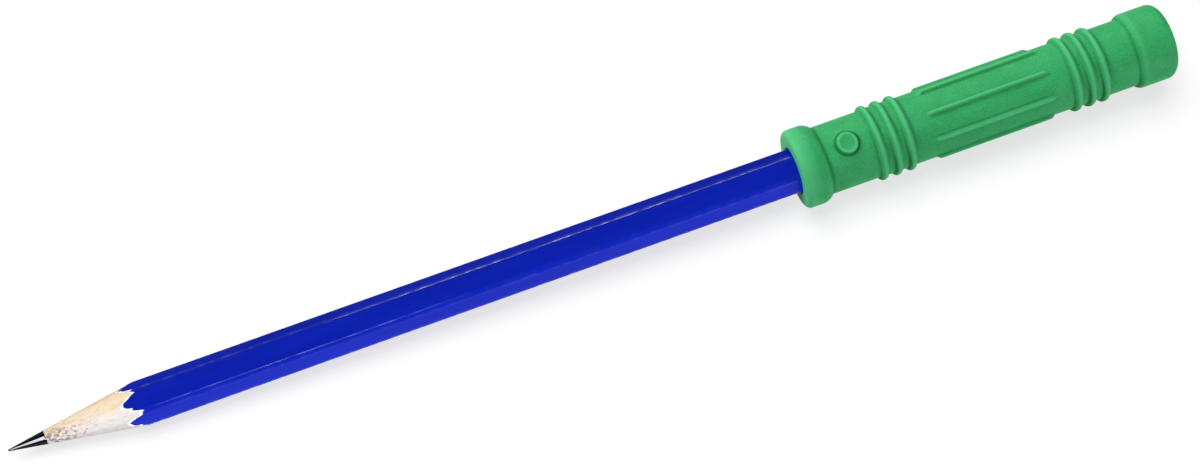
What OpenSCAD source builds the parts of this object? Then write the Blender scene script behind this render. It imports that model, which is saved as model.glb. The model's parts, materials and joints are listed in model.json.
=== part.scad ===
// Chewable rubber topper pushed onto the end of a sharpened hexagonal pencil.
// The pencil lies along X, point towards -X, with one flat facing straight up along Z.
// The origin is on the table, under the middle of the assembly's length.

/* [Pencil] */
// Whole length of the pencil, from its point to the end of its eraser
pencil_length = 190; // [170:0.5:200]
// Width of the barrel across its flats, over the lacquer
barrel_flats = 7.0; // [6.6:0.05:7.6]
// Rounding of the barrel's six long edges
barrel_edge_round = 1.3; // [0.7:0.05:1.6]
// Thickness of the lacquer
lacquer_thickness = 0.15; // [0.1:0.01:0.2]
// Diameter of the graphite core
core_d = 2.4; // [2:0.05:3]

/* [Point] */
// Included angle of the sharpened cone
point_angle = 18.3; // [16:0.1:24]
// Diameter of the worn tip
tip_d = 0.3; // [0.2:0.05:0.8]

/* [Ferrule and eraser] */
// How much wider the ferrule is than the barrel's flats
ferrule_oversize = 0.2; // [0.1:0.05:0.3]
// Wall of the ferrule
ferrule_wall = 0.3; // [0.25:0.01:0.4]
// Length of the ferrule
ferrule_length = 13; // [10:0.5:15]
// Length of the turned wood inside the ferrule
tenon_length = 6; // [4:0.5:7]
// Height of the ferrule's rolled beads
bead_height = 0.12; // [0.06:0.01:0.16]
// Number of rolled beads at each end of the ferrule
bead_count = 2; // [1:1:3]
// Distance from one bead to the next, and from the ferrule's end to its first bead
bead_pitch = 1.3; // [1:0.1:1.5]
// Length of eraser that stands out of the ferrule
eraser_reach = 7; // [5:0.5:9]
// Rounding of the eraser's free rim
eraser_round = 0.9; // [0.4:0.1:1.5]
// Rounding of the eraser's rim against the wood
eraser_foot_round = 0.15; // [0.1:0.05:0.4]

/* [Topper] */
// Length of the topper
topper_length = 68.4; // [64:0.2:76]
// How far the pencil goes into the topper
grip_depth = 51.6; // [46:0.2:54]
// Diameter of the topper's plain body
body_d = 11.9; // [11.2:0.1:12.6]
// Space between the barrel's edges and the bore
bore_clearance = 0.1; // [0.05:0.01:0.25]
// Space between the eraser and the bottom of the bore
bore_end_gap = 0.4; // [0.2:0.1:2]
// How much the bore opens at the mouth, on the radius
mouth_flare = 0.22; // [0.1:0.01:0.5]
// Depth of the opened part of the mouth
mouth_depth = 0.6; // [0.3:0.1:1.2]

/* [Collar and end] */
// Diameter of the collar round the mouth
collar_d = 13.9; // [13.4:0.1:15]
// Rounding of the collar's rim at the mouth
collar_front_round = 0.95; // [0.6:0.05:1.3]
// Length of the collar's straight land
collar_land = 1.9; // [1:0.05:2.5]
// Radius of the curve that runs from the land down to the body
collar_back_round = 2.7; // [2:0.05:3]
// Diameter of the solid end
end_d = 13.3; // [12.7:0.1:13.8]
// Length of the solid end
end_length = 7.4; // [6:0.05:9]
// Radius of the shoulder that rises from the body to the solid end
end_shoulder_round = 1.2; // [0.8:0.05:2]
// Rounding of the solid end's outer rim
end_round = 1.6; // [1:0.1:2.5]

/* [Rings] */
// Diameter over the rings
ring_d = 13.3; // [12.9:0.1:13.4]
// Width of one ring where it leaves the body
ring_width = 1.75; // [1.4:0.05:2.2]
// Distance from one ring to the next
ring_pitch = 2.54; // [2.3:0.02:2.8]
// Number of rings in each of the two groups
ring_count = 3; // [2:1:3]
// Height of the valley floor between rings over the body
valley_rise = 0.12; // [0.06:0.02:0.3]
// Middle of the first group, measured from the mouth
first_group_at = 16.75; // [15.6:0.05:18]
// Middle of the second group, measured from the mouth
second_group_at = 52.35; // [50:0.05:55]

/* [Ribs and button] */
// Number of ribs round the grip
rib_count = 8; // [5:1:10]
// Diameter over the rib crests
rib_crest_d = 13.2; // [12.7:0.1:13.4]
// Width of one rib, whose crest is half round
rib_width = 0.95; // [0.7:0.05:1.3]
// Length of the ramp at each end of a rib
rib_ramp = 1.8; // [1.2:0.05:4]
// Plain space between a rib's end and the nearest ring
rib_gap = 2.85; // [1:0.05:3.5]
// Diameter of the raised button near the collar
button_d = 3.8; // [3:0.1:4.4]
// Height of the button over the body
button_height = 0.55; // [0.3:0.05:0.7]
// Rounding of the button's rim
button_round = 0.35; // [0.15:0.05:0.4]
// Middle of the button, measured from the mouth
button_at = 9.05; // [8.4:0.05:10]
// Turn of the topper on the pencil, as the button's lean from straight up
topper_turn = 6; // [0:1:45]

/* [Hidden] */
$fn = 96;

assembly_length = pencil_length - grip_depth + topper_length;
tip_x = -assembly_length / 2;
mouth_x = tip_x + pencil_length - grip_depth;
axis_z = collar_d / 2;

wood_flats = barrel_flats - 2 * lacquer_thickness;
wood_edge_round = barrel_edge_round - lacquer_thickness;
// The edge rounds are drawn this much too large, so that they cross the flats and don't only touch them
round_overlap = 1.004;
barrel_edge_r = (barrel_flats / 2 - barrel_edge_round) / cos(30) + barrel_edge_round * round_overlap;

ferrule_r = (barrel_flats + ferrule_oversize) / 2;
ferrule_bore_r = ferrule_r - ferrule_wall;
barrel_length = pencil_length - eraser_reach - ferrule_length;
tenon_end = barrel_length + tenon_length;

cone_slope = tan(point_angle / 2);
// The sharpening envelope passes this far outside the barrel's edges
cone_margin = 1;
envelope_r = barrel_edge_r + cone_margin;
envelope_start = (envelope_r - tip_d / 2) / cone_slope;

body_r = body_d / 2;
bore_r = barrel_edge_r + bore_clearance;
bore_depth = grip_depth + bore_end_gap;
// Cutters and half-spaces run this far past what they cut
overcut = 1;

collar_back = collar_front_round + collar_land + collar_back_round;
end_start = topper_length - end_length;

ring_h = ring_d / 2 - body_r;
ring_arc_r = (pow(ring_width / 2, 2) + pow(ring_h, 2)) / (2 * ring_h);
group_half = (ring_count - 1) / 2 * ring_pitch;

rib_crest_r = rib_crest_d / 2;
rib_slope = (rib_crest_r - body_r) / rib_ramp;
rib_from = first_group_at + group_half + ring_width / 2 + rib_gap;
rib_to = second_group_at - group_half - ring_width / 2 - rib_gap;
// The rib's ramps start this far under the body's surface and end this far over the crest
rib_root = 0.3;
rib_under = rib_root / rib_slope;
// The button's foot starts this far under the body's surface
button_root = 1.2;

// Lays a piece that was drawn along z onto the pencil's axis, its foot at the given x
module lie(at) {
    translate([at, 0, axis_z]) rotate([90, 0, 90]) children();
}

// Hexagon with round corners and two level flats
module rounded_hexagon(flats, edge_round) {
    centre_r = (flats / 2 - edge_round) / cos(30);
    intersection() {
        circle(d = flats / cos(30), $fn = 6);
        union() {
            circle(r = norm([flats / 2, centre_r / 2]));
            for (i = [0:5])
                rotate(60 * i) translate([centre_r, 0]) circle(r = edge_round * round_overlap);
        }
    }
}

// Half section of a disc whose two rims are round
module rounded_disc(r, from, to, from_round, to_round) {
    polygon([
        [0, from], [r - from_round, from], [r, from + from_round],
        [r, to - to_round], [r - to_round, to], [0, to]
    ]);
    translate([r - from_round, from + from_round]) circle(r = from_round);
    translate([r - to_round, to - to_round]) circle(r = to_round);
}

// Everything that the sharpener leaves: a cone at the point, and all of the barrel behind it
module sharpened_envelope() {
    rotate_extrude()
        polygon([
            [0, 0], [tip_d / 2, 0], [envelope_r, envelope_start],
            [envelope_r, pencil_length], [0, pencil_length]
        ]);
}

// One group of rings, with the raised valley floors between them
module ring_group(middle) {
    for (i = [0:ring_count - 1])
        translate([ring_d / 2 - ring_arc_r, middle - group_half + i * ring_pitch]) circle(r = ring_arc_r);
    translate([0, middle - group_half]) square([body_r + valley_rise, 2 * group_half]);
}

// Ribs with half-round crests, which rise out of the body and sink back into it on ramps
module ribs() {
    crown_r = rib_crest_r - rib_width / 2;
    intersection() {
        for (i = [0:rib_count - 1])
            rotate(360 / rib_count * i) translate([0, 0, rib_from - rib_under])
                linear_extrude(rib_to - rib_from + 2 * rib_under) {
                    translate([0, -rib_width / 2]) square([crown_r, rib_width]);
                    translate([crown_r, 0]) circle(d = rib_width);
                }
        rotate_extrude()
            polygon([
                [0, rib_from - rib_under], [body_r - rib_root, rib_from - rib_under],
                [rib_crest_r + rib_root, rib_from + rib_ramp + rib_under],
                [rib_crest_r + rib_root, rib_to - rib_ramp - rib_under],
                [body_r - rib_root, rib_to + rib_under], [0, rib_to + rib_under]
            ]);
    }
}

// Round button that stands on the body in line with one rib
module button() {
    translate([body_r - button_root, 0, button_at]) rotate([0, 90, 0])
        rotate_extrude()
            rounded_disc(button_d / 2, 0, button_root + button_height, button_round, button_round);
}

// Half section of the sleeve: collar, plain body, two groups of rings and the solid end
module topper_section() {
    rounded_disc(collar_d / 2, 0, collar_back, collar_front_round, collar_back_round);
    translate([0, collar_front_round]) square([body_r, topper_length - end_round - collar_front_round]);
    ring_group(first_group_at);
    ring_group(second_group_at);
    rounded_disc(end_d / 2, end_start, topper_length, end_shoulder_round, end_round);
}

// Rubber sleeve with ribs and a button, bored out for the pencil
module topper() {
    color([0.27, 0.68, 0.42])
        lie(mouth_x) rotate(90 - topper_turn)
            difference() {
                union() {
                    rotate_extrude() topper_section();
                    ribs();
                    button();
                }
                translate([0, 0, -overcut]) cylinder(r = bore_r, h = bore_depth + overcut);
                cylinder(r1 = bore_r + mouth_flare, r2 = bore_r, h = mouth_depth);
            }
}

// Blue lacquer skin round the barrel, cut back to six tongues by the sharpened cone
module lacquer_coat() {
    color([0.06, 0.13, 0.69])
        lie(tip_x) intersection() {
            linear_extrude(barrel_length) difference() {
                rounded_hexagon(barrel_flats, barrel_edge_round);
                rounded_hexagon(wood_flats, wood_edge_round);
            }
            sharpened_envelope();
        }
}

// Hexagonal wood with its turned tenon and cone, whole and without its groove
module wood_blank() {
    intersection() {
        union() {
            linear_extrude(barrel_length) rounded_hexagon(wood_flats, wood_edge_round);
            cylinder(r = ferrule_bore_r, h = tenon_end);
        }
        sharpened_envelope();
    }
}

// One of the two glued slats: half of the blank, grooved for the core
module slat(side) {
    difference() {
        intersection() {
            wood_blank();
            translate([-envelope_r, side > 0 ? 0 : -envelope_r, 0])
                cube([2 * envelope_r, envelope_r, pencil_length]);
        }
        translate([0, 0, -overcut]) cylinder(d = core_d, h = tenon_end + 2 * overcut);
    }
}

// Slat above the glue line
module upper_slat() {
    color([0.97, 0.89, 0.78]) lie(tip_x) slat(1);
}

// Slat below the glue line
module lower_slat() {
    color([0.94, 0.90, 0.86]) lie(tip_x) slat(-1);
}

// Graphite core, bare at the point
module graphite_core() {
    color([0.16, 0.17, 0.20])
        lie(tip_x) intersection() {
            cylinder(d = core_d, h = tenon_end);
            sharpened_envelope();
        }
}

// Half section of one shallow rolled bead on the ferrule
module bead(at) {
    bead_r = (pow(bead_pitch / 2, 2) + pow(bead_height, 2)) / (2 * bead_height);
    intersection() {
        translate([ferrule_r + bead_height - bead_r, at]) circle(r = bead_r);
        translate([0, at - bead_pitch / 2]) square([ferrule_r + bead_height, bead_pitch]);
    }
}

// Metal tube that holds the eraser on the tenon, with rolled beads at both ends
module ferrule() {
    color([0.78, 0.79, 0.80])
        lie(tip_x + barrel_length)
            rotate_extrude()
                difference() {
                    union() {
                        square([ferrule_r, ferrule_length]);
                        for (i = [1:bead_count]) {
                            bead(i * bead_pitch);
                            bead(ferrule_length - i * bead_pitch);
                        }
                    }
                    translate([0, -overcut]) square([ferrule_bore_r, ferrule_length + 2 * overcut]);
                }
}

// Rubber plug that sits on the tenon inside the ferrule and stands out of it
module eraser() {
    color([0.88, 0.52, 0.50])
        lie(tip_x)
            rotate_extrude()
                rounded_disc(ferrule_bore_r, tenon_end, pencil_length, eraser_foot_round, eraser_round);
}

topper();
lacquer_coat();
upper_slat();
lower_slat();
graphite_core();
ferrule();
eraser();
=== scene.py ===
# A chewable rubber topper on a sharpened hexagonal pencil, lying on a white table.
# All sizes are in metres, and the pencil runs along X with its point towards -X.
import json
import math

import bmesh
import bpy
from mathutils import Matrix, Vector

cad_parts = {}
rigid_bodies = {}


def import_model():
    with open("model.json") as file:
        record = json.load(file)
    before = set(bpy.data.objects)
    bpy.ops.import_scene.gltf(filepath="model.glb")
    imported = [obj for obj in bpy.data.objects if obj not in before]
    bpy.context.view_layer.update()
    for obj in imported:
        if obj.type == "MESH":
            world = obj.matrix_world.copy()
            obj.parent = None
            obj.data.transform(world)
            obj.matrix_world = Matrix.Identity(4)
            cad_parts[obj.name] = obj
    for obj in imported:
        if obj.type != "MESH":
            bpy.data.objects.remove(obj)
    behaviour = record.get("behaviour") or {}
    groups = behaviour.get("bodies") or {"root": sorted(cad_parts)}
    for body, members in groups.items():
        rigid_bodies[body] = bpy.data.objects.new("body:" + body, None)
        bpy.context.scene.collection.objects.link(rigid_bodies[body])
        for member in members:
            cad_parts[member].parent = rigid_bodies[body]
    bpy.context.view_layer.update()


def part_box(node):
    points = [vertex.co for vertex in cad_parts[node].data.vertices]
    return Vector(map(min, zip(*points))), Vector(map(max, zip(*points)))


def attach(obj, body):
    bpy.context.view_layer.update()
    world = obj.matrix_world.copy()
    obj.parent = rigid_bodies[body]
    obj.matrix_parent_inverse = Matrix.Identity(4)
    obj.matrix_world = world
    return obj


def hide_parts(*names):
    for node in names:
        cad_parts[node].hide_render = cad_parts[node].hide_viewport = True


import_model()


# Graphite core
# A fired rod of graphite and clay, glued into the groove between the two slats.
# The sharpener bares its end to a cone and burnishes it, and the tip is a little worn.
core_low, core_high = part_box("graphite_core")
axis_z = (core_low.z + core_high.z) / 2
tip_x = core_low.x
tenon_end_x = core_high.x
core_r = (core_high.y - core_low.y) / 2
tip_r = 0.00015
# Rings of the worn tip: how far back each one lies and how wide it is, in radii of the tip
worn_tip = ((0, 0.35), (0.12, 0.7), (0.4, 0.95))
cone_from_r = 1.1 * tip_r
point_angle = 18.3
cone_slope = math.tan(math.radians(point_angle / 2))
graphite_grey = (0.040, 0.041, 0.044, 1)
graphite_dust = (0.030, 0.030, 0.033, 1)


class Wire:
    """A socket of a node tree: operators on it add Math nodes, and node() adds any other node."""

    def __init__(self, tree, socket=None):
        self.tree = tree
        self.socket = socket

    def node(self, kind, settings, sockets, output=0):
        """Adds a node, sets its settings and then its sockets, and gives a wire to one output."""
        made = self.tree.nodes.new(kind)
        for name, value in settings.items():
            setattr(made, name, value)
        for name, value in sockets.items():
            if isinstance(value, Wire):
                self.tree.links.new(value.socket, made.inputs[name])
            else:
                made.inputs[name].default_value = value
        return Wire(self.tree, made.outputs[output] if len(made.outputs) else None)

    def output(self, name):
        """Another output of the node that this wire comes from."""
        return Wire(self.tree, self.socket.node.outputs[name])

    def math(self, operation, *values):
        """A Math node whose first value is this wire."""
        return self.node("ShaderNodeMath", {"operation": operation}, dict(enumerate((self, *values))))

    def __add__(self, other):
        return self.math("ADD", other)

    def __radd__(self, other):
        return self.math("ADD", other)

    def __sub__(self, other):
        return self.math("SUBTRACT", other)

    def __rsub__(self, other):
        return self.node("ShaderNodeMath", {"operation": "SUBTRACT"}, {0: other, 1: self})

    def __mul__(self, other):
        return self.math("MULTIPLY", other)

    def __rmul__(self, other):
        return self.math("MULTIPLY", other)

    def __truediv__(self, other):
        return self.math("DIVIDE", other)

    def __rtruediv__(self, other):
        return self.node("ShaderNodeMath", {"operation": "DIVIDE"}, {0: other, 1: self})

    def __pow__(self, other):
        return self.math("POWER", other)

    def __neg__(self):
        return self.math("MULTIPLY", -1)

    def __abs__(self):
        return self.math("ABSOLUTE")

    def clamped(self, low, high):
        return self.node("ShaderNodeClamp", {}, {"Value": self, "Min": low, "Max": high})

    def between(self, start, end):
        """0 where the value is at start, 1 where it is at end, and a smooth step between them."""
        ends = {"Value": self, "From Min": start, "From Max": end}
        return self.node("ShaderNodeMapRange", {"interpolation_type": "SMOOTHSTEP"}, ends)


def new_material(name):
    """An empty node material, and a wire to add its nodes with."""
    material = bpy.data.materials.new(name)
    material.use_nodes = True
    material.node_tree.nodes.clear()
    return material, Wire(material.node_tree)


def object_place(wire):
    """The Object coordinates of a point."""
    return wire.node("ShaderNodeTexCoord", {}, {}, "Object")


def noise(wire, place, stretch, detail=2.0, roughness=0.5):
    """Noise from 0 to 1 whose cells per metre along X, Y and Z are the stretch."""
    scaled = wire.node("ShaderNodeVectorMath", {"operation": "MULTIPLY"}, {0: place, 1: stretch})
    cells = {"Vector": scaled, "Scale": 1.0, "Detail": detail, "Roughness": roughness}
    return wire.node("ShaderNodeTexNoise", {}, cells, "Fac")


def mix_colours(wire, factor, first, second):
    """The first colour where the factor is 0 and the second where it is 1."""
    return wire.node("ShaderNodeMix", {"data_type": "RGBA"}, {0: factor, 6: first, 7: second}, 2)


def bumped(wire, height, distance):
    """A normal from a height between 0 and 1 that stands for this distance."""
    return wire.node("ShaderNodeBump", {}, {"Height": height, "Strength": 1.0, "Distance": distance})


def surface(wire, **sockets):
    """A Principled shader on the material's output."""
    named = {name.replace("_", " "): value for name, value in sockets.items()}
    shader = wire.node("ShaderNodeBsdfPrincipled", {}, named)
    wire.node("ShaderNodeOutputMaterial", {}, {"Surface": shader})


def smooth(mesh, crease=35):
    """Shades a mesh smooth, but for edges that turn by more than the crease, in degrees."""
    mesh.polygons.foreach_set("use_smooth", [True] * len(mesh.polygons))
    mesh.set_sharp_from_angle(angle=math.radians(crease))


def in_scene(shape):
    """A new object in the scene for a mesh, a lamp or a camera, under the same name."""
    made = bpy.data.objects.new(shape.name, shape)
    bpy.context.scene.collection.objects.link(made)
    return made


def ring_faces(count, around, looped=False):
    """Faces that join each ring of points to the next one, and the last to the first if looped."""
    faces = []
    for i in range(count if looped else count - 1):
        here = i * around
        there = (i + 1) % count * around
        for j in range(around):
            k = (j + 1) % around
            faces.append((here + j, here + k, there + k, there + j))
    return faces


def skin(name, rings, looped=False):
    """A closed mesh over rings of points: its ends run to poles, or the last ring meets the first."""
    around = len(rings[0])
    points = [Vector(point) for ring in rings for point in ring]
    faces = ring_faces(len(rings), around, looped)
    if not looped:
        last = (len(rings) - 1) * around
        first_pole = len(points)
        points.append(sum(points[:around], Vector()) / around)
        points.append(sum(points[last:last + around], Vector()) / around)
        for j in range(around):
            k = (j + 1) % around
            faces.append((first_pole, k, j))
            faces.append((first_pole + 1, last + j, last + k))
    mesh = bpy.data.meshes.new(name)
    mesh.from_pydata(points, [], faces)
    smooth(mesh)
    return in_scene(mesh)


def on_axis(x, r, angle):
    """A point at a distance r from the pencil's axis, at an angle from +Y towards +Z."""
    return (x, r * math.cos(angle), axis_z + r * math.sin(angle))


def even_angles(count):
    """Angles all round, evenly spaced."""
    return [2 * math.pi * i / count for i in range(count)]


def steps(start, end, count):
    """Count values from start to end, both included."""
    return [start + (end - start) * i / (count - 1) for i in range(count)]


def ragged(angle):
    """Share by which the blade left the cone full or hollow at an angle round the pencil."""
    return (0.010 * math.sin(2 * angle + 0.4) + 0.008 * math.sin(7 * angle + 2.3)
            + 0.006 * math.sin(13 * angle + 0.9) + 0.003 * math.sin(29 * angle + 4.0))


def cone_x(r, angle):
    """Where the sharpened cone has this radius."""
    return tip_x + (r - tip_r) / (cone_slope * (1 + ragged(angle)))


core_angles = even_angles(96)
core_rings = []
for back, wide in worn_tip:
    core_rings.append([on_axis(tip_x + back * tip_r, wide * tip_r, a) for a in core_angles])
for r in steps(cone_from_r, core_r, 24):
    core_rings.append([on_axis(cone_x(r, a), r, a) for a in core_angles])
core_rings.append([on_axis(tenon_end_x, core_r, a) for a in core_angles])
graphite_core = skin("graphite_core_bare", core_rings)

graphite, wire = new_material("burnished_graphite")
place = object_place(wire)
turning = noise(wire, place, (9000, 500, 500), 3.0)
smear = noise(wire, place, (300, 1800, 1800), 2.0)
grey = mix_colours(wire, smear.between(0.35, 0.75), graphite_grey, graphite_dust)
surface(wire, Base_Color=grey, Metallic=1.0, Roughness=0.07 + 0.06 * turning,
        Specular_Tint=(0, 0, 0, 1), Normal=bumped(wire, turning, 0.0000012))
graphite_core.data.materials.append(graphite)
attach(graphite_core, "pencil")
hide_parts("graphite_core")


# Wooden slats
# Two grooved halves of soft pale wood, glued together round the core along a level plane.
# The barrel is planed to a hexagon, the far end is turned to a tenon, and the point is sharpened.
lacquer_low, lacquer_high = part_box("lacquer_coat")
ferrule_low, ferrule_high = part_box("ferrule")
eraser_low, eraser_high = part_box("eraser")
barrel_flats = lacquer_high.z - lacquer_low.z
barrel_edge_round = 0.0013
# Half of the angle that a round edge takes up
edge_half = math.atan2(barrel_edge_round / 2, barrel_flats / 2)
lacquer_thickness = 0.00015
wood_flats = barrel_flats - 2 * lacquer_thickness
wood_edge_round = barrel_edge_round - lacquer_thickness
# Behind this the wood is a plain hexagon
plain_wood_x = -0.06
barrel_end_x = ferrule_low.x
# The tenon and the eraser fill the same tube
eraser_r = (eraser_high.y - eraser_low.y) / 2
tenon_r = eraser_r
tan_wood = (0.85, 0.69, 0.48, 1)
deep_tan_wood = (0.80, 0.61, 0.39, 1)
pale_wood = (0.84, 0.79, 0.785, 1)
fibre_brown = (0.62, 0.47, 0.37, 1)
pore_mauve = (0.52, 0.42, 0.42, 1)
smudge_mauve = (0.22, 0.172, 0.185, 1)
upper_paleness = 0.35
lower_paleness = 0.55
paler_per_metre = 700
paleness_drift = 2.4
fibre_share = 0.3
pore_share = 0.3
dust_share = 0.9
dust_from_y = 0.0014
dust_full_y = -0.0004


def off_edge(angle):
    """Angle from the nearest edge of a hexagon whose edges lie at 0, 60, 120 degrees."""
    return abs((angle + math.pi / 6) % (math.pi / 3) - math.pi / 6)


def hexagon_r(angle, flats, edge_round):
    """Distance from the axis to a hexagon with round edges."""
    off = off_edge(angle)
    centre_r = (flats / 2 - edge_round) / math.cos(math.pi / 6)
    round_ends = math.atan2(edge_round / 2, centre_r + edge_round * math.cos(math.pi / 6))
    if off < round_ends:
        return centre_r * math.cos(off) + math.sqrt(edge_round ** 2 - (centre_r * math.sin(off)) ** 2)
    return flats / 2 / math.cos(math.pi / 6 - off)


def hexagon_angles(sectors):
    """Angles round part of a hexagon, from the middle of an edge, close together on the round edges."""
    sixth = math.pi / 3
    one = steps(0, edge_half, 6)[:-1]
    one += steps(edge_half, sixth - edge_half, 41)[:-1]
    one += steps(sixth - edge_half, sixth, 6)[:-1]
    return [sector * sixth + a for sector in range(sectors) for a in one]


def slat(name, start):
    """Half of the wood, from an angle on the glue plane through half a turn."""
    angles = [start + a for a in hexagon_angles(3)] + [start + math.pi]
    rows = []
    for share in steps(0, 1, 40):
        row = []
        for a in angles:
            r = core_r + share * (hexagon_r(a, wood_flats, wood_edge_round) - core_r)
            row.append((cone_x(r, a), r))
        rows.append(row)
    for x in (plain_wood_x, barrel_end_x):
        rows.append([(x, hexagon_r(a, wood_flats, wood_edge_round)) for a in angles])
    for x in (barrel_end_x, tenon_end_x):
        rows.append([(x, tenon_r) for a in angles])
    loops = []
    for row in rows:
        outside = [on_axis(x, r, a) for (x, r), a in zip(row, angles)]
        groove = [on_axis(x, core_r, a) for (x, r), a in zip(row, angles)]
        loops.append(outside + groove[::-1])
    return half_skin(name, loops)


def half_skin(name, loops):
    """A closed mesh over loops that run out along one face and back along another, from a knife edge."""
    around = len(loops[0])
    half = around // 2
    points = [point for loop in loops for point in loop]
    faces = ring_faces(len(loops), around)
    last = (len(loops) - 1) * around
    for j in range(half - 1):
        faces.append((last + j, last + j + 1, last + around - 2 - j, last + around - 1 - j))
    mesh = bpy.data.meshes.new(name)
    mesh.from_pydata(points, [], faces)
    merged = bmesh.new()
    merged.from_mesh(mesh)
    bmesh.ops.remove_doubles(merged, verts=merged.verts, dist=1e-7)
    bmesh.ops.dissolve_degenerate(merged, edges=merged.edges, dist=1e-8)
    merged.to_mesh(mesh)
    merged.free()
    smooth(mesh)
    return in_scene(mesh)


def cut_wood(name, paleness):
    """Freshly cut wood: long fibres, a tone that drifts across the slat, and graphite dust by the core."""
    material, wire = new_material(name)
    place = object_place(wire)
    along = wire.node("ShaderNodeSeparateXYZ", {}, {0: place})
    across = along.output("Y")
    fibre = noise(wire, place, (160, 2600, 2600), 4.0, 0.6)
    drift = noise(wire, place, (220, 500, 500), 2.0)
    bands = noise(wire, place, (40, 900, 900), 1.0)
    tan = mix_colours(wire, bands.between(0.42, 0.62), tan_wood, deep_tan_wood)
    pale = (paleness - across * paler_per_metre + (drift - 0.5) * paleness_drift).clamped(0, 1)
    wood = mix_colours(wire, pale, tan, pale_wood)
    wood = mix_colours(wire, fibre.between(0.5, 0.8) * fibre_share, wood, fibre_brown)
    pores = noise(wire, place, (900, 1700, 1700), 4.0, 0.7)
    wood = mix_colours(wire, pores.between(0.46, 0.68) * pore_share, wood, pore_mauve)
    near_core = 1 - along.between(cone_x(core_r, 0), cone_x(wood_flats / 2, 0))
    specks = noise(wire, place, (1300, 2100, 2100), 4.0, 0.7)
    dusty_side = across.between(dust_from_y, dust_full_y)
    thick = near_core ** 0.4 * (0.1 + 0.9 * dusty_side)
    dusted = (specks + near_core * 0.20 - 0.10).between(0.53, 0.65) * thick
    wood = mix_colours(wire, dusted * dust_share, wood, smudge_mauve)
    blade = noise(wire, place, (5200, 700, 700), 2.0)
    surface(wire, Base_Color=wood, Roughness=0.62 + 0.2 * fibre, Specular_IOR_Level=0.25,
            Normal=bumped(wire, fibre * 0.7 + blade * 0.5, 0.00004))
    return material


upper_slat = slat("upper_slat_sharpened", 0)
upper_slat.data.materials.append(cut_wood("upper_wood_cut", upper_paleness))
lower_slat = slat("lower_slat_sharpened", math.pi)
lower_slat.data.materials.append(cut_wood("lower_wood_cut", lower_paleness))
slats = (
    (upper_slat, "upper_slat", "upper_wood"),
    (lower_slat, "lower_slat", "lower_wood"),
)
for piece, node, finish in slats:
    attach(piece, "pencil")
    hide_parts(node)


# Lacquer coat
# Several coats of blue lacquer over a white ground, dipped onto the whole barrel.
# The sharpener cuts it back to a tongue on each flat and a notch at each edge.
# Behind this the coat is whole all round
plain_coat_x = -0.078
flake_depth = 0.0009
lacquer_blue = (0.0035, 0.014, 0.355, 1)
lacquer_deep_blue = (0.003, 0.012, 0.315, 1)
lacquer_cut_blue = (0.003, 0.009, 0.22, 1)
ground_white = (0.80, 0.82, 0.86, 1)
# Weight of the clear shine: dulled on the flats, least on the near side, and bright on the rubbed edges
dulled_gloss = 0.03
kept_gloss = 0.22
edge_gloss = 0.2
rubbed_gloss = 0.6
near_side_from_y = -0.0018
near_side_full_y = -0.0024
coat_angles = hexagon_angles(6)


def flaked(angle):
    """How far the lacquer has flaked back from the cut at an angle round the pencil."""
    return flake_depth * max(0, math.sin(11 * angle + 1.1) * math.sin(17 * angle + 2.0) - 0.2)


def hexagon_ring(x, flats, edge_round):
    """A ring of the coat's points round a hexagon with round edges."""
    return [on_axis(x, hexagon_r(a, flats, edge_round), a) for a in coat_angles]


def mark_points(piece, name, values):
    """Keeps a value at each point of a piece under this name."""
    piece.data.attributes.new(name, "FLOAT", "POINT").data.foreach_set("value", values)


def marked(wire, name):
    """The value that is kept under this name."""
    return wire.node("ShaderNodeAttribute", {"attribute_name": name}, {}, "Fac")


coat_rings = []
coat_depths = []
for depth in steps(0, 1, 5):
    flats = wood_flats + depth * (barrel_flats - wood_flats)
    edge_round = wood_edge_round + depth * (barrel_edge_round - wood_edge_round)
    ring = []
    for a in coat_angles:
        r = hexagon_r(a, flats, edge_round)
        ring.append(on_axis(cone_x(r, a) + flaked(a), r, a))
    coat_rings.append(ring)
    coat_depths.append(depth)
for x in steps(plain_coat_x, barrel_end_x, 26):
    coat_rings.append(hexagon_ring(x, barrel_flats, barrel_edge_round))
    coat_depths.append(1)
coat_rings.append(hexagon_ring(barrel_end_x, wood_flats, wood_edge_round))
coat_depths.append(0)
lacquer_coat = skin("lacquer_coat_cut", coat_rings, looped=True)
mark_points(lacquer_coat, "coat_depth", [depth for depth in coat_depths for a in coat_angles])
edge_shine = [max(0, 1 - (off_edge(a) / edge_half) ** 2) for a in coat_angles]
mark_points(lacquer_coat, "edge_shine", edge_shine * len(coat_rings))

lacquer, wire = new_material("dipped_blue_lacquer")
place = object_place(wire)
coat = marked(wire, "coat_depth")
flow = noise(wire, place, (60, 500, 500), 2.0)
peel = noise(wire, place, (700, 900, 900), 2.0)
rubs = noise(wire, place, (120, 5000, 5000), 3.0)
wear = noise(wire, place, (700, 300, 300), 3.0)
blue = mix_colours(wire, flow.between(0.3, 0.7), lacquer_deep_blue, lacquer_blue)
layers = mix_colours(wire, coat.between(0.7, 1.0), lacquer_cut_blue, blue)
layers = mix_colours(wire, coat.between(0.30, 0.62), ground_white, layers)
edges = marked(wire, "edge_shine")
across = wire.node("ShaderNodeSeparateXYZ", {}, {0: place}, "Y")
near_side = across.between(near_side_from_y, near_side_full_y)
flat_gloss = dulled_gloss + near_side * (kept_gloss - dulled_gloss)
polished = flat_gloss + edges * (edge_gloss + rubbed_gloss * wear.between(0.46, 0.62))
surface(wire, Base_Color=layers, Roughness=0.25 + 0.10 * rubs, Specular_IOR_Level=0,
        Coat_Weight=polished, Coat_Roughness=0.08, Coat_IOR=1.5, Normal=bumped(wire, peel, 0.000010))
lacquer_coat.data.materials.append(lacquer)
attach(lacquer_coat, "pencil")
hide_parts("lacquer_coat")


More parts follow.
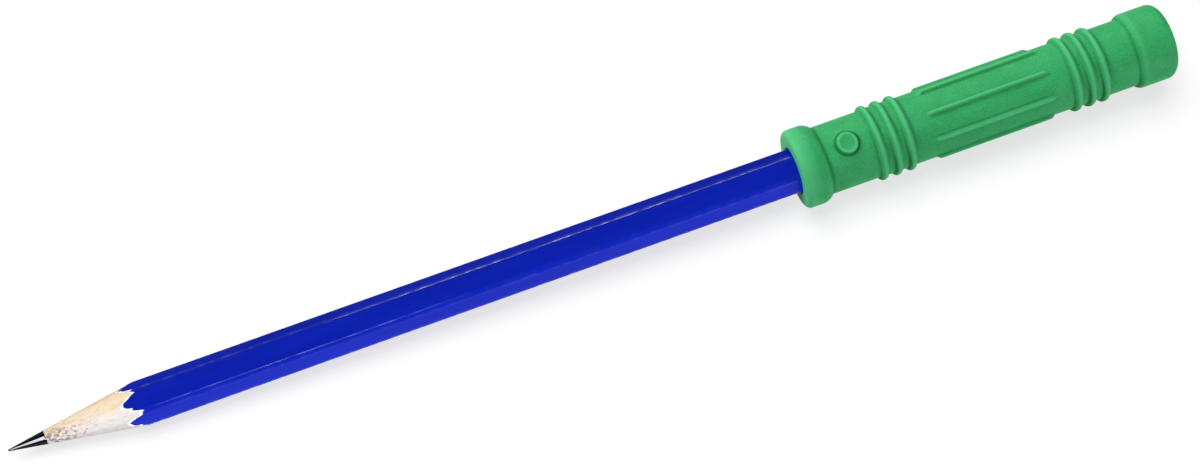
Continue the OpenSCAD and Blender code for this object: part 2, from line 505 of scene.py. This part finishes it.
# Ferrule
# A thin aluminium tube pushed over the tenon, with rolled beads and a crimped band that grips the eraser.
# It is hidden in the topper until the topper is pulled off.
ferrule_r = 0.0036
ferrule_outside_r = ferrule_r - 0.0001
bead_pitch = 0.0013
bead_height = 0.00012
crimp_count = 24
crimp_depth = 0.00014
crimp_width = 0.0022
crimp_full_share = 0.35
aluminium_grey = (0.80, 0.81, 0.82, 1)
aluminium_stain = (0.70, 0.71, 0.72, 1)


def rule_tree(name, sizes):
    """A Geometry Nodes tree with named sizes and a material, and a wire for each of them."""
    tree = bpy.data.node_groups.new(name, "GeometryNodeTree")
    tree.interface.new_socket("Geometry", in_out="INPUT", socket_type="NodeSocketGeometry")
    for size in sizes:
        tree.interface.new_socket(size, in_out="INPUT", socket_type="NodeSocketFloat")
    tree.interface.new_socket("Material", in_out="INPUT", socket_type="NodeSocketMaterial")
    tree.interface.new_socket("Geometry", in_out="OUTPUT", socket_type="NodeSocketGeometry")
    inputs = tree.nodes.new("NodeGroupInput")
    return {socket.name: Wire(tree, socket) for socket in inputs.outputs if socket.name}


def cylinder_place(wire):
    """A point's x, its angle round the pencil's axis and its distance from it."""
    position = wire.node("GeometryNodeInputPosition", {}, {})
    x = wire.node("ShaderNodeSeparateXYZ", {}, {0: position})
    y = x.output("Y")
    rise = x.output("Z") - axis_z
    return x, rise.math("ARCTAN2", y), (y * y + rise * rise).math("SQRT")


def move_out(named, relief, marks):
    """Moves the tree's points out from the axis by a relief, keeps marks on them and sets the material."""
    wire = named["Geometry"]
    on_points = {"data_type": "FLOAT", "domain": "POINT"}
    for name, mark in marks.items():
        kept = {"Geometry": wire, "Name": name, "Value": mark}
        wire = wire.node("GeometryNodeStoreNamedAttribute", on_points, kept)
    angle = cylinder_place(wire)[1]
    out_y = angle.math("COSINE") * relief
    out_z = angle.math("SINE") * relief
    out = wire.node("ShaderNodeCombineXYZ", {}, {"Y": out_y, "Z": out_z})
    moved = wire.node("GeometryNodeSetPosition", {}, {"Geometry": wire, "Offset": out})
    whole = wire.node("GeometryNodeRealizeInstances", {}, {"Geometry": moved})
    finish = {"Geometry": whole, "Material": named["Material"]}
    dressed = wire.node("GeometryNodeSetMaterial", {}, finish)
    wire.node("NodeGroupOutput", {}, {0: dressed})


def shape_by_rule(piece, tree, values, crease):
    """Runs a tree on a piece with these sizes and keeps the result as the piece's plain mesh."""
    rule = piece.modifiers.new(tree.name, "NODES")
    rule.node_group = tree
    for item in tree.interface.items_tree:
        if item.in_out == "INPUT" and item.name in values:
            rule[item.identifier] = values[item.name]
    shaped = piece.evaluated_get(bpy.context.evaluated_depsgraph_get())
    made = bpy.data.meshes.new_from_object(shaped)
    piece.modifiers.clear()
    piece.data = made
    smooth(made, crease)


def bead_rise(x):
    """Height of the rolled beads, two at each end of the ferrule."""
    rise = 0
    for at in (1, 2):
        for middle in (ferrule_low.x + at * bead_pitch, ferrule_high.x - at * bead_pitch):
            off = abs(x - middle) / (bead_pitch / 2)
            if off < 1:
                rise = bead_height * (1 - off * off)
    return rise


ferrule_profile = [(ferrule_low.x, tenon_r)]
ferrule_profile += [(x, ferrule_r + bead_rise(x)) for x in steps(ferrule_low.x, ferrule_high.x, 131)]
ferrule_profile.append((ferrule_high.x, tenon_r))
ferrule_rings = [[on_axis(x, r, a) for a in even_angles(192)] for x, r in ferrule_profile]
ferrule = skin("ferrule_crimped", ferrule_rings, looped=True)

aluminium, wire = new_material("rolled_aluminium")
place = object_place(wire)
drawn = noise(wire, place, (90, 6000, 6000), 3.0)
stain = noise(wire, place, (400, 400, 400), 2.0)
metal = mix_colours(wire, stain.between(0.3, 0.7), aluminium_grey, aluminium_stain)
surface(wire, Base_Color=metal, Metallic=1.0, Roughness=0.22 + 0.16 * drawn,
        Normal=bumped(wire, drawn, 0.000006))

named = rule_tree("Crimped band", ("Middle", "Width", "Count", "Depth", "Outer Radius"))
x, angle, r = cylinder_place(named["Geometry"])
in_band = abs(x - named["Middle"]).between(named["Width"] / 2, named["Width"] * crimp_full_share)
flutes = (angle * named["Count"]).math("COSINE") * 0.5 + 0.5
on_outside = r.math("GREATER_THAN", named["Outer Radius"])
move_out(named, -in_band * flutes * on_outside * named["Depth"], {})
shape_by_rule(ferrule, named["Geometry"].tree, {
    "Middle": (tenon_end_x + ferrule_high.x) / 2,
    "Width": crimp_width,
    "Count": crimp_count,
    "Depth": crimp_depth,
    "Outer Radius": ferrule_outside_r,
    "Material": aluminium,
}, crease=40)
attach(ferrule, "pencil")
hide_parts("ferrule")


# Eraser
# A cut plug of pink rubber held in the ferrule against the end of the tenon.
# Its free rim is a little rounded, and it has never been used.
eraser_rim = 0.0009
eraser_foot = 0.00015
eraser_ends = 0.001
eraser_pink = (0.72, 0.22, 0.21, 1)
eraser_deep_pink = (0.62, 0.18, 0.18, 1)
pumice_pink = (0.85, 0.45, 0.42, 1)


def arc(x, r, radius, start, end, count):
    """Points of a profile on an arc round (x, r), with angles in degrees from +X towards larger r."""
    return [(x + radius * math.cos(math.radians(a)), r + radius * math.sin(math.radians(a)))
            for a in steps(start, end, count)]


eraser_profile = [(eraser_low.x, eraser_r * share) for share in (0.3, 0.7)]
eraser_profile += arc(eraser_low.x + eraser_foot, eraser_r - eraser_foot, eraser_foot, 180, 90, 5)
eraser_wall = steps(eraser_low.x + eraser_ends, eraser_high.x - eraser_ends, 12)
eraser_profile += [(x, eraser_r) for x in eraser_wall]
eraser_profile += arc(eraser_high.x - eraser_rim, eraser_r - eraser_rim, eraser_rim, 90, 0, 10)
eraser_profile += [(eraser_high.x, eraser_r * share) for share in (0.6, 0.3)]
eraser_rings = [[on_axis(x, r, a) for a in even_angles(128)] for x, r in eraser_profile]
eraser = skin("eraser_plug", eraser_rings)

pink, wire = new_material("pink_eraser_rubber")
place = object_place(wire)
pumice = noise(wire, place, (6000, 6000, 6000), 2.0)
cloud = noise(wire, place, (500, 500, 500), 2.0)
rosy = mix_colours(wire, cloud.between(0.3, 0.7), eraser_pink, eraser_deep_pink)
rosy = mix_colours(wire, pumice.between(0.58, 0.75) * 0.4, rosy, pumice_pink)
surface(wire, Base_Color=rosy, Roughness=0.78 + 0.1 * cloud, Specular_IOR_Level=0.3,
        Normal=bumped(wire, pumice, 0.00003))
eraser.data.materials.append(pink)
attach(eraser, "pencil")
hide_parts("eraser")


# Topper
# One moulding of soft green rubber with a fine matt skin, bored out and pushed over the eraser end.
# A collar rings its mouth; behind it come a button, two groups of rings, long ribs and a solid end.
topper_low, topper_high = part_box("topper")
mouth_x = topper_low.x
topper_length = topper_high.x - topper_low.x
collar_r = (topper_high.y - topper_low.y) / 2
collar_front_round = 0.00095
collar_back_starts = 0.00285
collar_back_round = 0.0027
body_r = 0.00595
end_r = 0.00665
end_rim = 0.0016
end_shoulder_at = 0.0622
end_shoulder_round = 0.0012
bore_clearance = 0.0001
bore_r = (lacquer_high.y - lacquer_low.y) / 2 + bore_clearance
bore_depth = 0.052
bore_corner = 0.0004
mouth_flare = 0.00022
mouth_r = bore_r + mouth_flare
mouth_depth = 0.0006
lip_depth = 0.00008
lip_width = 0.0001
front_face_from = 0.0006
ring_height = 0.0007
ring_round = 0.00068
ring_pitch = 0.00254
first_rings_at = 0.01675
second_rings_at = 0.05235
ring_floor_height = 0.0001
ring_floor_fade = 0.0004
ring_floor_sunk = 0.00002
rib_count = 8
rib_from = 0.0231
rib_to = 0.0462
rib_ramp = 0.0015
rib_height = 0.00064
rib_half_width = 0.00034
rib_reach = 0.00085
button_at = 0.00905
button_r = 0.0019
button_height = 0.00052
button_wall_slope = 3.5
button_rim_round = 0.0005
dish_depth = 0.00012
dish_share = 0.75
dish_full_share = 0.6
facing_cosine = 0.5
topper_turn = math.pi / 2 - math.radians(6)
rubber_green = (0.022, 0.305, 0.090, 1)
rubber_pale_green = (0.042, 0.420, 0.142, 1)
# Painted highlight: a lighter green laid on the crests, rims and collar front
painted_highlight_green = (0.085, 0.520, 0.210, 1)
# Painted shade: a darker green laid in the creases
painted_shade_green = (0.005, 0.140, 0.030, 1)


def span(start, end, step):
    """Values from start up to but not including end, about a step apart."""
    count = max(1, round((end - start) / step))
    return [start + (end - start) * i / count for i in range(count)]


def spaced_angles():
    """Angles round the topper, close together on the ribs, and all round the sector of the button."""
    sector = 2 * math.pi / rib_count
    edge = rib_reach / body_r
    coarse_step = 0.045
    fine_step = 0.0185
    plain = span(-sector / 2, -edge, coarse_step)
    plain += span(-edge, edge, fine_step)
    plain += span(edge, sector / 2, coarse_step)
    fine = span(-sector / 2, sector / 2, fine_step)
    return [topper_turn + sector * i + a for i in range(rib_count) for a in (fine if i == 0 else plain)]


# Half section from the bottom of the bore out through the mouth and along the outside to the solid end
inside = [(bore_depth, bore_r * share) for share in (0.4, 0.8, 1)]
inside += [(u, bore_r) for u in steps(bore_depth - bore_corner, mouth_depth, 9)]
inside += [(mouth_depth * share, mouth_r + (bore_r - mouth_r) * share) for share in (0.6, 0.25)]
inside += [(lip_depth, mouth_r), (0, mouth_r + lip_width), (0, mouth_r + front_face_from)]
collar_back_r = collar_r - collar_back_round
collar_stop = math.degrees(math.asin((body_r - collar_back_r) / collar_back_round))
collar = arc(collar_front_round, collar_r - collar_front_round, collar_front_round, 180, 90, 16)
collar += arc(collar_back_starts, collar_back_r, collar_back_round, 90, collar_stop, 20)
collar_crease_at = collar[-1][0]
shoulder_r = end_r - end_shoulder_round
shoulder_start = 180 - math.degrees(math.asin((body_r - shoulder_r) / end_shoulder_round))
shoulder = arc(end_shoulder_at, shoulder_r, end_shoulder_round, shoulder_start, 90, 14)
end_crease_at = shoulder[0][0]

# Stretches of the body, by where each one ends and how close together its points lie
button_reach = 0.0022
rings_reach = 0.0041
rib_end_before = 0.0004
rib_end_within = 0.003
crease_gap = 0.0001
plain_step = 0.0003
button_step = 0.0001
ring_step = 0.00009
rib_end_step = 0.00016
rib_step = 0.0016
end_step = 0.0004
body_stretches = (
    (button_at - button_reach, plain_step),
    (button_at + button_reach, button_step),
    (first_rings_at - rings_reach, plain_step),
    (first_rings_at + rings_reach, ring_step),
    (rib_from - rib_end_before, plain_step),
    (rib_from + rib_end_within, rib_end_step),
    (rib_to - rib_end_within, rib_step),
    (rib_to + rib_end_before, rib_end_step),
    (second_rings_at - rings_reach, plain_step),
    (second_rings_at + rings_reach, ring_step),
    (end_crease_at - crease_gap, end_step),
)
body = []
start = collar_crease_at + crease_gap
for stop, step in body_stretches:
    body += [(u, body_r) for u in span(start, stop, step)]
    start = stop
end_band_from = end_shoulder_at + 0.0006
end_band_to = topper_length - end_rim - 0.0004
end = [(u, end_r) for u in steps(end_band_from, end_band_to, 6)]
end += arc(topper_length - end_rim, end_r - end_rim, end_rim, 90, 0, 16)
end += [(topper_length, share * (end_r - end_rim)) for share in (0.75, 0.4)]
section = inside + collar + body + shoulder + end

topper_angles = spaced_angles()
topper_rings = [[on_axis(mouth_x + u, r, a) for a in topper_angles] for u, r in section]
topper = skin("topper_moulding", topper_rings)
first_body = len(inside + collar)
body_flags = [1.0 if first_body <= i < first_body + len(body) else 0.0 for i in range(len(section))]
pole_flags = [0.0, 0.0]
mark_points(topper, "on_body", [flag for flag in body_flags for a in topper_angles] + pole_flags)

rubber, wire = new_material("matt_green_rubber")
place = object_place(wire)
spark = noise(wire, place, (4200, 4200, 4200), 3.0, 0.6)
cloud = noise(wire, place, (350, 350, 350), 3.0)
mottle = cloud.between(0.3, 0.75) * 0.4 + spark.between(0.4, 0.6) * 0.6
green = mix_colours(wire, mottle, rubber_green, rubber_pale_green)
# Painted highlight on the crests and rims, where the crest mark is high
green = mix_colours(wire, marked(wire, "crest") * 0.7, green, painted_highlight_green)
# Painted shade in the creases, where the crease mark is high
green = mix_colours(wire, marked(wire, "crease") * 0.9, green, painted_shade_green)
surface(wire, Base_Color=green, Roughness=0.55 + 0.16 * spark, IOR=1.26,
        Normal=bumped(wire, spark, 0.00003))

named = rule_tree("Chewing relief", (
    "Mouth", "Body Radius", "Ring Height", "Ring Round", "Ring Pitch", "First Group", "Second Group",
    "Rib Count", "Rib Height", "Rib Half Width", "Rib From", "Rib To", "Rib Ramp", "Turn",
    "Button At", "Button Radius", "Button Height", "Collar Crease", "End Crease", "End Crest",
))
x, angle = cylinder_place(named["Geometry"])[:2]
# u is the distance along the topper from its mouth
u = x - named["Mouth"]
sharp_fillet = 0.00015
rib_fillet = 0.00035
sunk = 0.0003
body_sunk = 0.0001


def bump_arc(off, radius, height):
    """A round crest of this radius whose top stands at a height, falling away steeply beside it."""
    within = (radius * radius - off * off).math("MAXIMUM", 0).math("SQRT")
    beside = (off - radius).math("MAXIMUM", 0)
    return within - radius + height - beside * 2


def off_ring(middle):
    """Distance along the topper from the nearest of three rings."""
    away = u - middle
    index = (away / named["Ring Pitch"]).math("ROUND").clamped(-1, 1)
    return abs(away - index * named["Ring Pitch"])


def ring_relief(middle):
    """Three round rings, and the slightly raised floor between them."""
    away = u - middle
    crest = bump_arc(off_ring(middle), named["Ring Round"], named["Ring Height"])
    past_rings = abs(away) - named["Ring Pitch"]
    floor = past_rings.between(ring_floor_fade, -ring_floor_fade) * ring_floor_height
    return crest.math("SMOOTH_MAX", floor - ring_floor_sunk, sharp_fillet)


def line_at(measure, middle, fades_at, full_at):
    """1 on the line where a measure has its middle value, and 0 at a distance from it."""
    return abs(measure - middle).between(fades_at, full_at)


def greatest(first, *others):
    """The largest of several values."""
    for other in others:
        first = first.math("MAXIMUM", other)
    return first


first_rings = ring_relief(named["First Group"])
second_rings = ring_relief(named["Second Group"])
nearest_ring = off_ring(named["First Group"]).math("MINIMUM", off_ring(named["Second Group"]))

sector = 2 * math.pi / named["Rib Count"]
share = (angle - named["Turn"]) / sector
lateral = abs(share - share.math("ROUND")) * sector * named["Body Radius"]
inset = (u - named["Rib From"]).math("MINIMUM", named["Rib To"] - u)
taper = inset.between(0, named["Rib Ramp"])
ribs = (bump_arc(lateral, named["Rib Half Width"], named["Rib Height"]) + sunk) * taper - sunk

around = angle - named["Turn"]
button_side = around.math("SINE") * named["Body Radius"]
button_along = u - named["Button At"]
off_button = (button_side * button_side + button_along * button_along).math("SQRT")
flat_top = (named["Body Radius"] + named["Button Height"]) / around.math("COSINE") - named["Body Radius"]
in_dish = (1 - off_button / (named["Button Radius"] * dish_share)).clamped(0, 1)
dish = in_dish.between(0, dish_full_share) * dish_depth
wall = (named["Button Radius"] - off_button) * button_wall_slope
facing = around.math("COSINE").math("GREATER_THAN", facing_cosine)
button = ((flat_top - dish).math("SMOOTH_MIN", wall, button_rim_round) + sunk) * facing - sunk

# The crest mark is a painted highlight along the ring crests, the collar front, the end shoulder, the ribs
# and the button rim
ring_painted_highlight = nearest_ring.between(0.00050, 0.00010)
collar_painted_highlight = u.between(0.0032, 0.0014)
end_painted_highlight = line_at(u, named["End Crest"], 0.0008, 0.0001) * 0.5
rib_painted_highlight = lateral.between(0.00035, 0.00008) * taper
button_painted_highlight = line_at(off_button, named["Button Radius"] * 0.78, 0.00035, 0.00005) * facing
crest = greatest(ring_painted_highlight, collar_painted_highlight, end_painted_highlight, rib_painted_highlight, button_painted_highlight)
# The crease mark is painted shade in the hollows beside the rings, ribs and button, behind the collar and
# before the end
ring_painted_shade = line_at(nearest_ring, named["Ring Round"] * 1.2, 0.00050, 0.00005) * 0.2
rib_painted_shade = line_at(lateral, named["Rib Half Width"] * 1.5, 0.00026, 0.00005) * taper * 0.35
button_painted_shade = line_at(off_button, named["Button Radius"] * 1.08, 0.00035, 0.00005) * facing
collar_crease = line_at(u, named["Collar Crease"], 0.00055, 0.00010) * 0.6
end_crease = line_at(u, named["End Crease"], 0.00040, 0.00005) * 0.4
crease = greatest(ring_painted_shade, rib_painted_shade, button_painted_shade, collar_crease, end_crease)

relief = first_rings.math("SMOOTH_MAX", second_rings, sharp_fillet)
relief = relief.math("SMOOTH_MAX", ribs, rib_fillet)
relief = relief.math("SMOOTH_MAX", button, sharp_fillet)
relief = relief.math("SMOOTH_MAX", -body_sunk, sharp_fillet)
on_body = u.node("GeometryNodeInputNamedAttribute", {"data_type": "FLOAT"}, {"Name": "on_body"})
# The crest mark carries the painted highlight and the crease mark the painted shade
move_out(named, relief * on_body, {"crest": crest, "crease": crease})
shape_by_rule(topper, named["Geometry"].tree, {
    "Mouth": mouth_x,
    "Body Radius": body_r,
    "Ring Height": ring_height,
    "Ring Round": ring_round,
    "Ring Pitch": ring_pitch,
    "First Group": first_rings_at,
    "Second Group": second_rings_at,
    "Rib Count": rib_count,
    "Rib Height": rib_height,
    "Rib Half Width": rib_half_width,
    "Rib From": rib_from,
    "Rib To": rib_to,
    "Rib Ramp": rib_ramp,
    "Turn": topper_turn,
    "Button At": button_at,
    "Button Radius": button_r,
    "Button Height": button_height,
    "Collar Crease": collar_crease_at,
    "End Crease": end_crease_at,
    "End Crest": end_shoulder_at,
    "Material": rubber,
}, crease=50)
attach(topper, "topper")
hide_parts("topper")


# Table
# A plain white table top whose wide rim turns up all round.
# The collar and the front of the barrel rest on it, so it slopes a little against the level pencil.
collar_rests_at = 0.002
rest_collar_x = mouth_x + collar_rests_at
rest_barrel_x = cone_x(barrel_flats / 2, -math.pi / 2)
slope = (axis_z - barrel_flats / 2) / (rest_collar_x - rest_barrel_x)
# Rings of the table top: radius, and rise above the slope
table_sweep = ((0.5, 0), (2.4, 0), (2.65, 0.04), (2.85, 0.16), (2.96, 0.33), (3.0, 0.55))
table_around = 96
table_white = (0.32, 0.32, 0.32, 1)
glow_white = (1, 1, 1, 1)
table_glow = 0.72
glow_grows_from = 0.2
glow_full_at = 1.0
table_points = [Vector((0, 0, rest_collar_x * slope))]
table_faces = []
for r, rise in table_sweep:
    for a in even_angles(table_around):
        x = r * math.cos(a)
        table_points.append(Vector((x, r * math.sin(a), rise + (rest_collar_x - x) * slope)))
for j in range(table_around):
    k = (j + 1) % table_around
    table_faces.append((0, 1 + j, 1 + k))
    for i in range(len(table_sweep) - 1):
        here = 1 + i * table_around
        there = here + table_around
        table_faces.append((here + j, there + j, there + k, here + k))
table_mesh = bpy.data.meshes.new("table")
table_mesh.from_pydata(table_points, [], table_faces)
smooth(table_mesh)
table = in_scene(table_mesh)

white, wire = new_material("white_table")
ray = wire.node("ShaderNodeLightPath", {}, {}, "Is Camera Ray")
seen = greatest(ray, ray.output("Is Glossy Ray"), ray.output("Is Transmission Ray"))
place = object_place(wire)
from_middle = wire.node("ShaderNodeVectorMath", {"operation": "LENGTH"}, {0: place}, "Value")
glowing = table_glow + (1 - table_glow) * from_middle.between(glow_grows_from, glow_full_at)
matt = wire.node("ShaderNodeBsdfDiffuse", {}, {"Color": table_white})
glow = wire.node("ShaderNodeEmission", {}, {"Color": glow_white, "Strength": seen * glowing})
both = wire.node("ShaderNodeAddShader", {}, {0: matt, 1: glow})
wire.node("ShaderNodeOutputMaterial", {}, {"Surface": both})
table_mesh.materials.append(white)


# Studio
# Soft boxes stand round the pencil, as in a light tent, and three strips draw the shine of the barrel's
# edges and light the point. The topper, the barrel, the core and the table each have a box of their own.
room_white = (1, 1, 1, 1)
room_strength = 0.15


def soft_box(name, place, width, depth, watts, lit, aim_y=0):
    """An area light that lights these objects and faces the middle of the pencil, or beside it along Y."""
    lamp = bpy.data.lights.new(name, "AREA")
    lamp.shape = "RECTANGLE"
    lamp.size = width
    lamp.size_y = depth
    lamp.energy = watts
    box = in_scene(lamp)
    box.location = place
    aim = Vector((0, aim_y, axis_z)) - Vector(place)
    box.rotation_euler = aim.to_track_quat("-Z", "Y").to_euler()
    box.light_linking.receiver_collection = lit


def group(name, members):
    """A collection of objects for a lamp to light."""
    made = bpy.data.collections.new(name)
    for member in members:
        made.objects.link(member)
    return made


core_alone = group("core_alone", (graphite_core,))
wood_and_coat = group("wood_and_coat", (upper_slat, lower_slat, lacquer_coat, ferrule, eraser))
all_but_core = group("all_but_core", (*wood_and_coat.objects, topper))
pieces = group("pieces", (graphite_core, *all_but_core.objects))
barrel_alone = group("barrel_alone", (lacquer_coat,))
topper_alone = group("topper_alone", (topper,))
table_alone = group("table_alone", (table,))
# Each box has its place, its width and depth, its watts, and what it lights
soft_box("key_soft_box", (-1.08, 0.60, 0.81), 1.0, 0.6, 20.5, all_but_core)
soft_box("back_soft_box", (0.42, 1.20, 0.70), 1.07, 0.4, 11.4, topper_alone)
soft_box("front_soft_box", (0.95, -1.20, 0.33), 1.2, 0.6, 16.0, pieces)
soft_box("barrel_soft_box", (-1.00, -1.00, 0.16), 1.0, 0.3, 22.5, barrel_alone)
soft_box("core_soft_box", (-0.684, -0.58, 1.12), 1.9, 0.2, 26.0, core_alone, aim_y=-0.58)
soft_box("point_strip", (-0.684, -0.50, 1.12), 0.9, 0.13, 5.4, wood_and_coat, aim_y=-0.50)
soft_box("near_edge_strip", (-0.11, -0.28, 0.95), 0.20, 0.14, 0.8, pieces)
soft_box("far_edge_strip", (0.075, 0.92, 0.39), 0.29, 0.08, 2.2, barrel_alone)
soft_box("table_soft_box", (-0.15, 0.46, 1.15), 0.75, 0.75, 15.0, table_alone)

world = bpy.data.worlds.new("pale_room")
world.use_nodes = True
world.node_tree.nodes.clear()
wire = Wire(world.node_tree)
back = wire.node("ShaderNodeBackground", {}, {"Color": room_white, "Strength": room_strength})
wire.node("ShaderNodeOutputWorld", {}, {"Surface": back})
bpy.context.scene.world = world
bpy.context.scene.view_settings.view_transform = "Standard"

# The pencil in the picture: it tips away from the camera, climbs to the right and is rolled on its axis
recede = math.radians(5.4)
climb = math.radians(19.6)
lean = math.radians(7.5)
# From the middle of the pencil's axis, along the camera's own axes
camera_offset = Vector((0, 0.0003, 0.397))
focal_length = 70.9
sensor_width = 36
pencil_dir = Vector((
    math.cos(recede) * math.cos(climb),
    math.cos(recede) * math.sin(climb),
    -math.sin(recede),
))
toward = Vector((
    math.sin(recede) * math.cos(climb),
    math.sin(recede) * math.sin(climb),
    math.cos(recede),
))
picture_up = Vector((-math.sin(climb), math.cos(climb), 0))
flat_dir = math.cos(lean) * toward + math.sin(lean) * picture_up
side_dir = flat_dir.cross(pencil_dir)
turned = Matrix((pencil_dir, side_dir, flat_dir))
camera_place = Vector((0, 0, axis_z)) + turned @ camera_offset
lens = bpy.data.cameras.new("camera")
lens.lens = focal_length
lens.sensor_width = sensor_width
camera = in_scene(lens)
camera.matrix_world = Matrix.Translation(camera_place) @ turned.to_4x4()
bpy.context.scene.camera = camera
